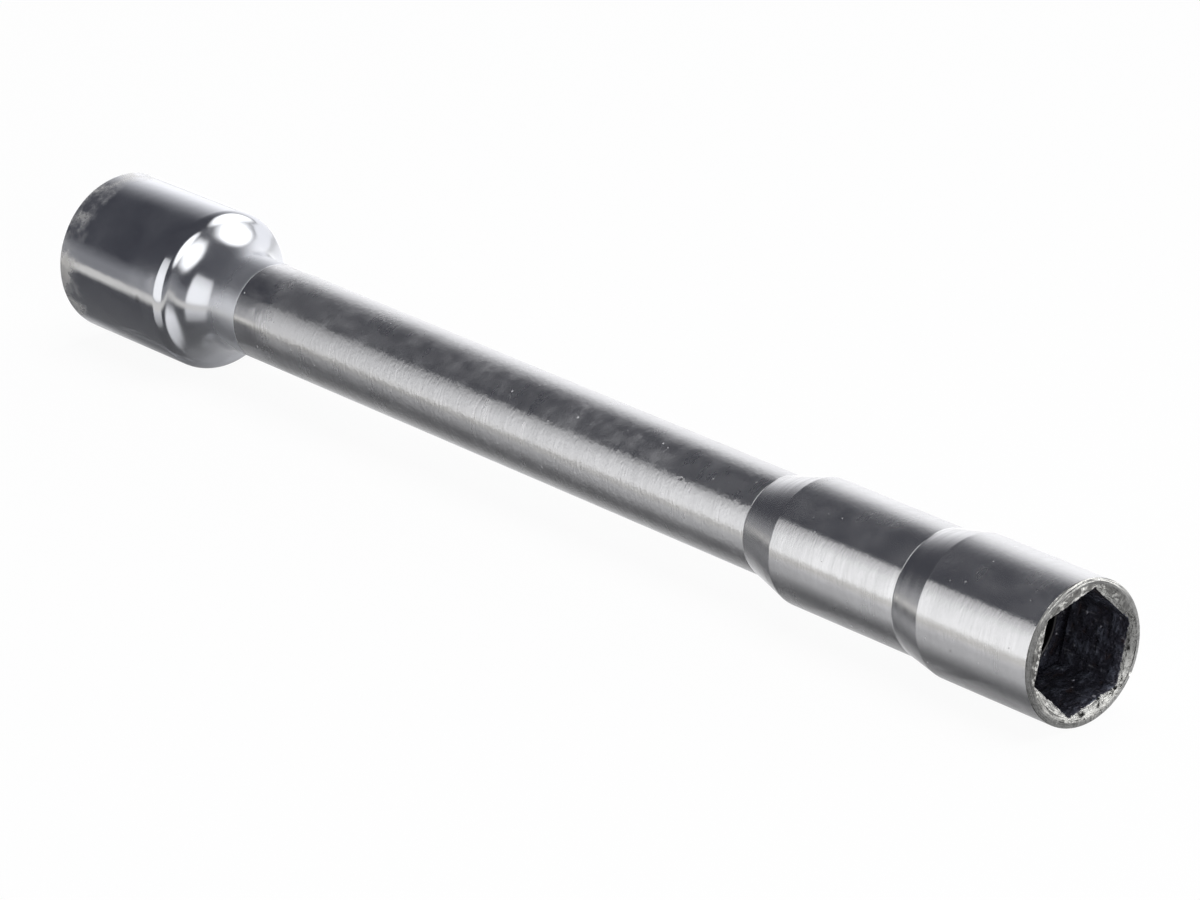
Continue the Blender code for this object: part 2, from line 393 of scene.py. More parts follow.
def wear(piece, name, level, grain, depth, weight):
    """Displaces part of a piece by clouds about a level; weight gives a point's share from its place."""
    group = piece.vertex_groups.new(name=name)
    for point in piece.data.vertices:
        amount = weight(point.co)
        if amount > 0.0:
            group.add([point.index], amount, "REPLACE")
    texture = bpy.data.textures.new(name, "CLOUDS")
    texture.noise_scale = grain
    modifier = piece.modifiers.new(name, "DISPLACE")
    modifier.texture = texture
    modifier.texture_coords = "LOCAL"
    modifier.vertex_group = name
    modifier.strength = depth
    modifier.mid_level = level
    bpy.context.view_layer.objects.active = piece
    bpy.ops.object.modifier_apply(modifier=name)


def paint(piece, finishes):
    """Gives each face the first finish whose test of the face's centre passes."""
    for material, _ in finishes:
        piece.data.materials.append(material)
    for face in piece.data.polygons:
        for index, (_, covers) in enumerate(finishes):
            if covers(face.center):
                face.material_index = index
                break


def everywhere(centre):
    """A test that every face passes."""
    return True


def off_axis(point):
    """Distance of a point from the wrench's axis."""
    return math.hypot(point.y, point.z)


def reach_into_gap(joint):
    """How far a finished piece reaches past its solid, to leave just a seam at a joint."""
    return (joint.gap - joint.seam) / 2


def hand_over(piece, node):
    """Smooths a finished piece and lets it stand for its solid."""
    start_fresh()
    piece.select_set(True)
    bpy.context.view_layer.objects.active = piece
    bpy.ops.object.shade_smooth_by_angle(angle=SMOOTH_ANGLE)
    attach(piece, "root")
    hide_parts(node)


# Finishes

def add(tree, kind, **settings):
    """One shader node with its settings."""
    made = tree.nodes.new("ShaderNode" + kind)
    for name, value in settings.items():
        setattr(made, name, value)
    return made


def feed(tree, socket, value):
    """Links a socket to another node's output, or sets it to a plain value."""
    if isinstance(value, bpy.types.NodeSocket):
        tree.links.new(value, socket)
    else:
        socket.default_value = value


def calc(tree, operation, first, second=0.0, clamp=False):
    """The result of one Math node."""
    made = add(tree, "Math", operation=operation, use_clamp=clamp)
    feed(tree, made.inputs[0], first)
    feed(tree, made.inputs[1], second)
    return made.outputs[0]


def times(tree, value, *others):
    """Values multiplied together."""
    for other in others:
        value = calc(tree, "MULTIPLY", value, other)
    return value


def plus(tree, value, *others):
    """Values added together."""
    for other in others:
        value = calc(tree, "ADD", value, other)
    return value


def rest_of(tree, value):
    """What a value leaves of 1."""
    return calc(tree, "SUBTRACT", 1.0, value)


def spread(tree, value, low, high, to_low=0.0, to_high=1.0):
    """A value mapped from one range to another and held inside it."""
    made = add(tree, "MapRange")
    for name, number in (
        ("Value", value), ("From Min", low), ("From Max", high), ("To Min", to_low), ("To Max", to_high)
    ):
        feed(tree, made.inputs[name], number)
    return made.outputs["Result"]


def mix_colours(tree, amount, low, high):
    """One colour laid over another by an amount."""
    made = add(tree, "Mix", data_type="RGBA")
    for socket, value in zip((made.inputs[0], made.inputs[6], made.inputs[7]), (amount, low, high)):
        if not isinstance(value, (bpy.types.NodeSocket, float)):
            value = (*value, 1.0)
        feed(tree, socket, value)
    return made.outputs[2]


def axes_of(tree, point):
    """The X, Y and Z of a place, by name."""
    split = add(tree, "SeparateXYZ")
    feed(tree, split.inputs[0], point)
    return split.outputs


def from_middle(tree, across, up):
    """Distance from the middle of a place that lies so far across and so far up."""
    squares = plus(tree, calc(tree, "POWER", across, 2.0), calc(tree, "POWER", up, 2.0))
    return calc(tree, "SQRT", squares)


def scale_place(tree, point, factors):
    """A place multiplied by one factor, or by a factor along each axis."""
    made = add(tree, "VectorMath", operation="MULTIPLY")
    feed(tree, made.inputs[0], point)
    feed(tree, made.inputs[1], (factors,) * 3 if isinstance(factors, float) else factors)
    return made.outputs[0]


def in_units_of(tree, point, size):
    """A place measured in a unit of some size."""
    made = add(tree, "VectorMath", operation="SCALE")
    feed(tree, made.inputs[0], point)
    feed(tree, made.inputs["Scale"], calc(tree, "DIVIDE", 1.0, size))
    return made.outputs[0]


def noise(tree, point, detail=3.0, rough=0.6):
    """Noise over a place that is already in noise units."""
    made = add(tree, "TexNoise", noise_dimensions="3D")
    feed(tree, made.inputs["Vector"], point)
    made.inputs["Scale"].default_value = 1.0
    made.inputs["Detail"].default_value = detail
    made.inputs["Roughness"].default_value = rough
    return made.outputs["Fac"]


def new_group(name, inputs, outputs):
    """An empty shader node group with named sockets, with its input and output sockets by name."""
    group = bpy.data.node_groups.new(name, "ShaderNodeTree")
    for label, kind, default in inputs:
        socket = group.interface.new_socket(name=label, in_out="INPUT", socket_type="NodeSocket" + kind)
        if default is not None:
            socket.default_value = default
    for label in outputs:
        group.interface.new_socket(name=label, in_out="OUTPUT", socket_type="NodeSocketFloat")
    entry = group.nodes.new("NodeGroupInput")
    leave = group.nodes.new("NodeGroupOutput")
    return group, entry.outputs, leave.inputs


def use_group(tree, name, point, **values):
    """A node group placed in a material, with its values; gives its outputs by name."""
    made = tree.nodes.new("ShaderNodeGroup")
    made.node_tree = bpy.data.node_groups[name]
    feed(tree, made.inputs["Place"], point)
    for label, value in values.items():
        feed(tree, made.inputs[label], value)
    return made.outputs


def mask(tree, name, point, **values):
    """The mask of a node group placed in a material, with its values."""
    return use_group(tree, name, point, **values)["Mask"]


def make_grinding_marks():
    """Fine marks that run round the axis: short along X, and long round the turn."""
    inputs = [("Place", "Vector", None), ("Pitch", "Float", 0.0004), ("Run", "Float", 5.0)]
    group, given, result = new_group("Grinding Marks", inputs, ["Height", "Streaks"])
    along = calc(group, "DIVIDE", 1.0, given["Pitch"])
    round_turn = calc(group, "DIVIDE", along, given["Run"])
    factors = add(group, "CombineXYZ")
    for axis, factor in (("X", along), ("Y", round_turn), ("Z", round_turn)):
        feed(group, factors.inputs[axis], factor)
    fine = scale_place(group, given["Place"], factors.outputs[0])
    feed(group, result["Height"], noise(group, fine, detail=2.0))
    coarse = scale_place(group, fine, (0.3, 0.12, 0.12))
    feed(group, result["Streaks"], spread(group, noise(group, coarse), 0.3, 0.7))


def make_specks():
    """Scattered round spots, each cell of a grid having one or none."""
    inputs = [
        ("Place", "Vector", None), ("Spacing", "Float", 0.002), ("Size", "Float", 0.2),
        ("Share", "Float", 0.3)
    ]
    group, given, result = new_group("Specks", inputs, ["Mask"])
    cells = add(group, "TexVoronoi")
    feed(group, cells.inputs["Vector"], in_units_of(group, given["Place"], given["Spacing"]))
    cells.inputs["Scale"].default_value = 1.0
    chance = add(group, "SeparateColor")
    feed(group, chance.inputs[0], cells.outputs["Color"])
    chosen = calc(group, "LESS_THAN", chance.outputs[0], given["Share"])
    size = times(group, given["Size"], chance.outputs[1])
    inner = times(group, size, 0.5)
    spot = spread(group, cells.outputs["Distance"], inner, size, 1.0, 0.0)
    feed(group, result["Mask"], times(group, spot, chosen))


def make_smudges():
    """Soft cloudy patches, as handling leaves them."""
    inputs = [("Place", "Vector", None), ("Size", "Float", 0.01)]
    group, given, result = new_group("Smudges", inputs, ["Mask"])
    clouds = noise(group, in_units_of(group, given["Place"], given["Size"]), detail=4.0)
    feed(group, result["Mask"], spread(group, clouds, 0.38, 0.68))


def make_ragged_border():
    """1 on the drive side of a station and 0 past it, with a ragged line between."""
    inputs = [
        ("Place", "Vector", None), ("Station", "Float", 0.0), ("Raggedness", "Float", 0.001),
        ("Grain", "Float", 0.001), ("Softness", "Float", 0.0002)
    ]
    group, given, result = new_group("Ragged Border", inputs, ["Mask"])
    average_noise = 0.5
    rough_line = noise(group, in_units_of(group, given["Place"], given["Grain"]))
    shift = times(group, calc(group, "SUBTRACT", rough_line, average_noise), given["Raggedness"])
    past = calc(group, "SUBTRACT", plus(group, axes_of(group, given["Place"])["X"], shift), given["Station"])
    inside = times(group, given["Softness"], -1.0)
    feed(group, result["Mask"], spread(group, past, inside, given["Softness"], 1.0, 0.0))


def new_material(name):
    """A material with its tree, its Principled shader and the piece's own coordinates."""
    material = bpy.data.materials.new(name)
    material.use_nodes = True
    tree = material.node_tree
    coordinates = add(tree, "TexCoord")
    return material, tree, tree.nodes["Principled BSDF"], coordinates.outputs["Object"]


def raise_bumps(tree, shader, *layers):
    """Stacks bump layers of (height, distance in metres) on a shader's normal."""
    below = None
    for height, distance in layers:
        bump = add(tree, "Bump")
        bump.inputs["Strength"].default_value = 1.0
        bump.inputs["Distance"].default_value = distance
        feed(tree, bump.inputs["Height"], height)
        if below is not None:
            feed(tree, bump.inputs["Normal"], below)
        below = bump.outputs["Normal"]
    feed(tree, shader.inputs["Normal"], below)


def stretch_gloss(tree, shader, amount):
    """Spreads a shader's gloss along the axis, as marks that run round a turned piece do."""
    quarter_turn = 0.25
    shader.inputs["Anisotropic"].default_value = amount
    shader.inputs["Anisotropic Rotation"].default_value = quarter_turn
    tangent = add(tree, "Tangent", direction_type="RADIAL", axis="X")
    feed(tree, shader.inputs["Tangent"], tangent.outputs[0])


def bright_plating(settings):
    """Bright plating with faint smudges and pits, a scuffed band at the drive face and a duller neck."""
    material, tree, shader, here = new_material("bright_plating")
    smudge = mask(tree, "Smudges", here, Size=0.009)
    spots = mask(tree, "Specks", here, Spacing=0.004, Size=0.25, Share=0.25)
    end = DRIVE_FACE + settings.dull_length
    band = mask(tree, "Ragged Border", here, Station=end, Raggedness=0.008, Grain=0.004, Softness=0.0012)
    patches = spread(tree, mask(tree, "Smudges", here, Size=0.0035), 0.1, 0.9, 0.1, 1.0)
    scuffed = times(tree, band, patches)
    neck = DRIVE_FACE + settings.cylinder_length + settings.neck_fillet
    bright = mask(tree, "Ragged Border", here, Station=neck, Raggedness=0.002, Grain=0.004, Softness=0.005)

    pit_darkness = 0.5
    worn = mix_colours(tree, scuffed, tuple(settings.chrome), SCUFFED_PLATING)
    pitted = mix_colours(tree, times(tree, spots, pit_darkness), worn, PLATING_PIT)
    feed(tree, shader.inputs["Base Color"], pitted)

    scuff_haze, smudge_haze, neck_haze = 0.55, 0.05, 0.15
    haze = plus(
        tree,
        times(tree, scuffed, scuff_haze),
        times(tree, smudge, smudge_haze),
        spread(tree, bright, 0.0, 1.0, neck_haze, 0.0),
    )
    feed(tree, shader.inputs["Metallic"], rest_of(tree, haze))

    scuff_rough, smudge_rough, neck_rough = 0.25, 0.06, 0.17
    rough = plus(
        tree,
        times(tree, smudge, smudge_rough),
        settings.polish,
        times(tree, scuffed, scuff_rough),
        spread(tree, bright, 0.0, 1.0, neck_rough, 0.0),
    )
    feed(tree, shader.inputs["Roughness"], rough)
    ripple = noise(tree, scale_place(tree, here, 200.0), detail=2.0)
    raise_bumps(tree, shader, (ripple, 0.00003))
    return material


def ground_steel(name, steel, grind, unevenness, polished_to=None):
    """Satin steel, ground round: stretched gloss with a torn edge, streaks, pits, mottling and fine dust."""
    material, tree, shader, here = new_material(name)
    steel = tuple(steel)
    marks = use_group(tree, "Grinding Marks", here, Pitch=0.0004, Run=4.0)
    ripples = use_group(tree, "Grinding Marks", here, Pitch=0.0006, Run=1.3)
    pits = mask(tree, "Specks", here, Spacing=0.0021, Size=0.16, Share=0.06)
    grain = noise(tree, scale_place(tree, here, 2600.0), rough=0.75)
    smudge = mask(tree, "Smudges", here, Size=0.009)
    mottle = mask(tree, "Smudges", here, Size=0.0022)
    specks = mask(tree, "Specks", here, Spacing=0.0015, Size=0.17, Share=0.4)
    dust = times(tree, specks, 0.6 + 0.4 * unevenness)

    streak_tone, streak_darkness, pit_darkness = 0.84, 0.35, 0.6
    dim = tuple(streak_tone * part for part in steel)
    streaked = mix_colours(tree, times(tree, marks["Streaks"], streak_darkness), steel, dim)
    pitted = mix_colours(tree, times(tree, pits, pit_darkness), streaked, STEEL_PIT)
    feed(tree, shader.inputs["Base Color"], mix_colours(tree, dust, pitted, STEEL_DUST))

    mottle_haze, dust_haze = 0.04 + 0.22 * unevenness, 0.8
    haze = plus(tree, times(tree, mottle, smudge, mottle_haze), times(tree, dust, dust_haze))
    feed(tree, shader.inputs["Metallic"], rest_of(tree, haze))

    streak_rough, dust_rough = 0.03, 0.15
    rough = plus(
        tree,
        spread(tree, smudge, 0.0, 1.0, grind - 0.04, grind + 0.01),
        times(tree, marks["Streaks"], streak_rough),
        times(tree, dust, dust_rough),
    )
    sandiness = spread(tree, smudge, 0.2, 0.9, 0.12, 0.22 + 0.15 * unevenness)
    rippling = 0.8 * unevenness
    height = plus(
        tree, marks["Height"], times(tree, ripples["Height"], rippling), times(tree, grain, sandiness)
    )
    if polished_to is not None:
        polished_rough, polished_height = 0.17, 0.12
        polished = mask(
            tree, "Ragged Border", here, Station=polished_to, Raggedness=0.012, Grain=0.0016, Softness=0.003
        )
        satin_rough = times(tree, rough, rest_of(tree, polished))
        rough = plus(tree, satin_rough, times(tree, polished, polished_rough))
        along = axes_of(tree, here)["X"]
        start, end = polished_to - 0.005, polished_to + 0.003
        height = times(tree, height, spread(tree, along, start, end, polished_height, 1.0))
    feed(tree, shader.inputs["Roughness"], rough)
    raise_bumps(tree, shader, (height, 0.00002 + 0.00005 * unevenness), (pits, -0.00003))
    stretch_gloss(tree, shader, 0.97)
    return material


def turned_cone_steel():
    """Polished steel with the fine lines of the turning tool round the cones."""
    material, tree, shader, here = new_material("turned_cone_steel")
    marks = use_group(tree, "Grinding Marks", here, Pitch=0.00035, Run=30.0)
    line_darkness = 0.5
    lined = mix_colours(tree, times(tree, marks["Streaks"], line_darkness), CONE_STEEL, CONE_LINES)
    feed(tree, shader.inputs["Base Color"], lined)
    shader.inputs["Metallic"].default_value = 1.0
    feed(tree, shader.inputs["Roughness"], spread(tree, marks["Streaks"], 0.0, 1.0, 0.17, 0.27))
    raise_bumps(tree, shader, (marks["Height"], 0.000008))
    stretch_gloss(tree, shader, 0.7)
    return material


def worn_rim_steel(name, steel, brightened, scratched):
    """Steel of the mouth: scratched round, rubbed bright in patches, lighter low at the inner edge, with a
    painted highlight along the top of the outer edge and painted shade low on the far side, and pitted low
    down.
    """
    material, tree, shader, here = new_material(name)
    steel = tuple(steel)
    axes = axes_of(tree, here)
    across, up = axes["Y"], axes["Z"]
    off_centre = from_middle(tree, across, up)
    inside_edge = spread(tree, off_centre, 0.0104, 0.01)

    low_far_side = spread(tree, calc(tree, "SUBTRACT", across, up), 0.003, 0.009, 0.1, 1.0)
    cluster = spread(tree, mask(tree, "Smudges", here, Size=0.003), 0.1, 0.45)
    pits = mask(tree, "Specks", here, Spacing=0.0012, Size=0.8, Share=0.7)
    pits = times(tree, pits, cluster, low_far_side, inside_edge)

    round_turn = add(tree, "CombineXYZ")
    for axis, value, per_metre in (("X", off_centre, 7000.0), ("Y", across, 260.0), ("Z", up, 260.0)):
        feed(tree, round_turn.inputs[axis], times(tree, value, per_metre))
    rings = noise(tree, round_turn.outputs[0])
    scratch_tone = 0.3
    darker = tuple(scratch_tone * part for part in steel)
    ringed = mix_colours(tree, spread(tree, rings, 0.5, 0.62, 0.0, scratched), steel, darker)

    # Lighter low down at the inner edge, and a painted highlight along the top of the outer edge
    low_inside = times(tree, spread(tree, up, -0.003, -0.007), spread(tree, off_centre, 0.0104, 0.0096))
    painted_top_highlight = times(tree, spread(tree, up, 0.006, 0.0095), spread(tree, off_centre, 0.0101, 0.0105))
    low_lighter_and_top_highlight = times(tree, calc(tree, "MAXIMUM", low_inside, painted_top_highlight), spread(tree, rings, 0.58, 0.44))
    patches = spread(tree, mask(tree, "Smudges", here, Size=0.0016), 1.0 - brightened, 1.0)
    # rubbed holds the rubbed patches together with the lighter low edge and the painted top highlight
    rubbed = calc(tree, "MAXIMUM", patches, low_lighter_and_top_highlight)
    brighter = mix_colours(tree, rubbed, ringed, RIM_RUBBED_AND_HIGHLIGHT)

    # Painted shade low on the far side of the mouth
    far_shade_amount = 0.75
    far_side = times(tree, spread(tree, across, 0.002, 0.007), spread(tree, up, -0.006, -0.001), inside_edge)
    far_shaded = mix_colours(tree, times(tree, far_side, far_shade_amount), brighter, RIM_PAINTED_SHADE)
    feed(tree, shader.inputs["Base Color"], mix_colours(tree, pits, far_shaded, RIM_PIT))
    shader.inputs["Metallic"].default_value = 1.0
    feed(tree, shader.inputs["Roughness"], spread(tree, rubbed, 0.0, 1.0, 0.4, 0.2))
    grain = noise(tree, scale_place(tree, here, 1500.0))
    raise_bumps(tree, shader, (grain, 0.0005), (rings, 0.00025), (pits, -0.0003))
    return material


def broached_black(settings):
    """Blackened walls of the hexagon: torn along the broach's travel, with a painted bluish reflection,
    brown stains, bare places and painted glints.
    """
    material, tree, shader, here = new_material("broached_black")
    tears = noise(tree, scale_place(tree, here, (300.0, 1700.0, 1700.0)))
    lumps = noise(tree, scale_place(tree, here, (520.0, 420.0, 420.0)))
    # Painted glints, also raised a little
    glint_flecks = mask(tree, "Specks", here, Spacing=0.0011, Size=0.35, Share=0.3)
    worn = mask(tree, "Smudges", here, Size=0.0025)
    # Painted bluish reflection over the lumps
    reflection_tinted = mix_colours(tree, spread(tree, lumps, 0.5, 0.68), tuple(settings.broached), PAINTED_BLUE_REFLECTION)
    stained = mix_colours(tree, spread(tree, lumps, 0.42, 0.3, 0.0, 0.6), reflection_tinted, BROWN_STAIN)
    bare = times(tree, spread(tree, tears, 0.58, 0.72, 0.0, 0.5), worn)
    # rubbed holds bare steel where the walls are torn and worn, together with the painted glints
    rubbed = calc(tree, "ADD", bare, times(tree, glint_flecks, worn), clamp=True)
    feed(tree, shader.inputs["Base Color"], mix_colours(tree, rubbed, stained, BARE_STEEL_AND_GLINT))
    shader.inputs["Metallic"].default_value = 0.5
    feed(tree, shader.inputs["Roughness"], spread(tree, tears, 0.3, 0.7, 0.22, 0.42))
    raise_bumps(tree, shader, (lumps, 0.001), (tears, 0.00007), (glint_flecks, 0.0001))
    return material


def bored_steel():
    """Dark oiled steel inside bores and on hidden spigots."""
    material, tree, shader, here = new_material("bored_steel")
    marks = use_group(tree, "Grinding Marks", here, Pitch=0.0004, Run=20.0)
    feed(tree, shader.inputs["Base Color"], mix_colours(tree, marks["Streaks"], BORE_STEEL, BORE_STREAK))
    shader.inputs["Metallic"].default_value = 1.0
    feed(tree, shader.inputs["Roughness"], spread(tree, marks["Streaks"], 0.0, 1.0, 0.35, 0.55))
    raise_bumps(tree, shader, (marks["Height"], 0.00002))
    return material


def moulded_rubber(settings):
    """Matt moulded rubber with a fine grain and grey bloom."""
    material, tree, shader, here = new_material("moulded_rubber")
    bloom = mask(tree, "Smudges", here, Size=0.003)
    feed(tree, shader.inputs["Base Color"], mix_colours(tree, bloom, tuple(settings.rubber), RUBBER_BLOOM))
    feed(tree, shader.inputs["Roughness"], spread(tree, bloom, 0.0, 1.0, 0.6, 0.85))
    grain = noise(tree, scale_place(tree, here, 3500.0))
    raise_bumps(tree, shader, (grain, 0.00006))
    return material


def shared_finish(make):
    """A finish that several pieces have, made when it is first asked for."""
    return bpy.data.materials.get(make.__name__) or make()


# Operators

class WRENCH_OT_effects(bpy.types.Operator):
    """Builds the effects that the finishes share: marks, specks, smudges and ragged borders"""

    bl_idname = "wrench.effects"
    bl_label = "Surface Effects"

    def execute(self, context):
        make_grinding_marks()
        make_specks()
        make_smudges()
        make_ragged_border()
        return {"FINISHED"}


class WRENCH_OT_drive_head(bpy.types.Operator):
    """Models the polished head with its shoulder, neck and square drive"""

    bl_idname = "wrench.drive_head"
    bl_label = "Drive Head"

    def execute(self, context):
        head = context.scene.wrench_head
        joint = context.scene.wrench_joint
        bore_radius = SHAFT_RADIUS - joint.spigot_shoulder + joint.gap
        neck_end = HEAD_HIGH.x + reach_into_gap(joint)
        bore_end = SHAFT_LOW.x
        drop = HEAD_RADIUS - SHAFT_RADIUS
        slope = math.acos(1 - drop / (head.shoulder_round + head.neck_fillet))
        shoulder = DRIVE_FACE + head.cylinder_length + head.shoulder_round * math.tan(slope / 2)
        hollow = shoulder + drop / math.tan(slope)
        face_edge = HEAD_RADIUS - 2 * head.edge_round
        # The shoulder and the fillet meet in one point, so each arc stops a hair short of it
        hair_short = 0.9999
        outline = rounded([
            (DRIVE_FACE, face_edge, 0.0),
            (DRIVE_FACE, HEAD_RADIUS, head.edge_round),
            (shoulder, HEAD_RADIUS, head.shoulder_round * hair_short),
            (hollow, SHAFT_RADIUS, head.neck_fillet * hair_short),
            (neck_end, SHAFT_RADIUS, joint.seam_round),
            (neck_end, bore_radius, 0.0),
            (bore_end, bore_radius, 0.0),
            (bore_end, 0.0, 0.0),
        ])
        piece = turned("polished_drive_head", outline)

        bpy.ops.object.mode_set(mode="EDIT")
        corner = head.square_across_flats / math.sqrt(2)
        wide = corner + head.lead_in * math.sqrt(2)
        flats_level = math.radians(45)
        square_start = DRIVE_FACE + FACE_DISH
        square_end = DRIVE_FACE + head.square_depth
        add_flat_sided_ring(piece, square_start, 4, wide, head.square_corner_round, flats_level, SIDES)
        push_ring(head.lead_in, corner / wide, square_start)
        push_ring(square_end - square_start - head.lead_in)
        face_rings = 3
        bridge_between(piece, DRIVE_FACE, square_start, cuts=face_rings)
        pilot = head.pilot_diameter / 2
        bpy.ops.mesh.select_all(action="DESELECT")
        bore_start = square_end + FACE_DISH
        bpy.ops.mesh.primitive_circle_add(
            vertices=SIDES, radius=pilot, location=(bore_start, 0.0, 0.0), rotation=(0.0, math.pi / 2, 0.0)
        )
        push_ring(head.chip_room - FACE_DISH)
        push_ring(pilot / math.tan(head.drill_point / 2))
        bpy.ops.mesh.merge(type="CENTER")
        bridge_between(piece, square_end, bore_start)
        weld_and_face_out()

        self.cut_detents(piece, head)
        chrome = bright_plating(head)
        bored = shared_finish(bored_steel)
        lead_in_end = square_start + head.lead_in
        bore_skin = bore_radius * 1.01

        def in_bores(at):
            """A test for faces in the square drive or in the bore for the shaft."""
            in_drive = off_axis(at) < wide and lead_in_end < at.x < square_end + head.chip_room
            return in_drive or (off_axis(at) < bore_skin and at.x > square_end)

        paint(piece, [(bored, in_bores), (chrome, everywhere)])
        hand_over(piece, "drive_head")
        return {"FINISHED"}

    def cut_detents(self, piece, head):
        """Cuts the ball detent pockets into the square's flats."""
        start_fresh()
        middle = DRIVE_FACE + head.detent_setback + head.detent_width / 2
        bpy.ops.mesh.primitive_cylinder_add(
            vertices=SIDES,
            radius=head.square_across_flats / 2 + head.detent_depth,
            depth=head.detent_width,
            location=(middle, 0.0, 0.0),
            rotation=(0.0, math.pi / 2, 0.0),
        )
        cutter = bpy.context.active_object
        modifier = piece.modifiers.new("detents", "BOOLEAN")
        modifier.operation = "DIFFERENCE"
        modifier.object = cutter
        bpy.context.view_layer.objects.active = piece
        bpy.ops.object.modifier_apply(modifier=modifier.name)
        bpy.data.objects.remove(cutter, do_unlink=True)


class WRENCH_OT_shaft(bpy.types.Operator):
    """Models the ground bar with its two spigots"""

    bl_idname = "wrench.shaft"
    bl_label = "Shaft"

    def execute(self, context):
        shaft = context.scene.wrench_shaft
        joint = context.scene.wrench_joint
        spigot = SHAFT_RADIUS - joint.spigot_shoulder
        tip = spigot - joint.spigot_chamfer
        reach = reach_into_gap(joint)
        start = HEAD_HIGH.x + joint.gap - reach
        end = BARREL_LOW.x - joint.gap + reach
        outline = rounded([
            (SHAFT_LOW.x, 0.0, 0.0),
            (SHAFT_LOW.x, tip, 0.0),
            (SHAFT_LOW.x + joint.spigot_chamfer, spigot, 0.0),
            (start, spigot, 0.0),
            (start, SHAFT_RADIUS, joint.seam_round),
            (end, SHAFT_RADIUS, joint.seam_round),
            (end, spigot, 0.0),
            (SHAFT_HIGH.x - joint.spigot_chamfer, spigot, 0.0),
            (SHAFT_HIGH.x, tip, 0.0),
            (SHAFT_HIGH.x, 0.0, 0.0),
        ])
        piece = turned("ground_shaft", outline)
        steel = ground_steel(
            "ground_shaft_steel", shaft.steel, shaft.grind, shaft.unevenness, start + shaft.polished_length
        )
        bored = shared_finish(bored_steel)
        skin = SHAFT_RADIUS * 0.97
        paint(piece, [(bored, lambda at: off_axis(at) < skin), (steel, everywhere)])
        hand_over(piece, "shaft")
        return {"FINISHED"}


class WRENCH_OT_barrel(bpy.types.Operator):
    """Models the stepped tube between shaft and nose, with its polished cone"""

    bl_idname = "wrench.barrel"
    bl_label = "Barrel"

    def execute(self, context):
        barrel = context.scene.wrench_barrel
        joint = context.scene.wrench_joint
        bore = SHAFT_RADIUS - joint.spigot_shoulder + joint.gap
        cavity = BARREL_RADIUS - barrel.wall
        spigot = BARREL_RADIUS - joint.nose_spigot_shoulder
        reach = reach_into_gap(joint)
        start = BARREL_LOW.x - reach
        cone_end = BARREL_LOW.x + barrel.taper_length
        end = NOSE_LOW.x - joint.gap + reach
        floor = BARREL_LOW.x + barrel.bore_depth
        outline = rounded([
            (start, bore, 0.0),
            (start, SHAFT_RADIUS, joint.seam_round),
            (cone_end, BARREL_RADIUS, barrel.taper_blend),
            (end, BARREL_RADIUS, joint.seam_round),
            (end, spigot, 0.0),
            (BARREL_HIGH.x, spigot, 0.0),
            (BARREL_HIGH.x, cavity, 0.0),
            (floor, cavity, 0.0),
            (floor, bore, 0.0),
        ])
        piece = turned("ground_barrel", closed(outline))
        steel = ground_steel("ground_barrel_steel", barrel.steel, barrel.grind, barrel.unevenness)
        cone = shared_finish(turned_cone_steel)
        bored = shared_finish(bored_steel)
        cone_skin = SHAFT_RADIUS * 0.99
        skin = BARREL_RADIUS * 0.97
        paint(piece, [
            (cone, lambda at: at.x < cone_end and off_axis(at) > cone_skin),
            (bored, lambda at: off_axis(at) < skin),
            (steel, everywhere),
        ])
        hand_over(piece, "barrel")
        return {"FINISHED"}


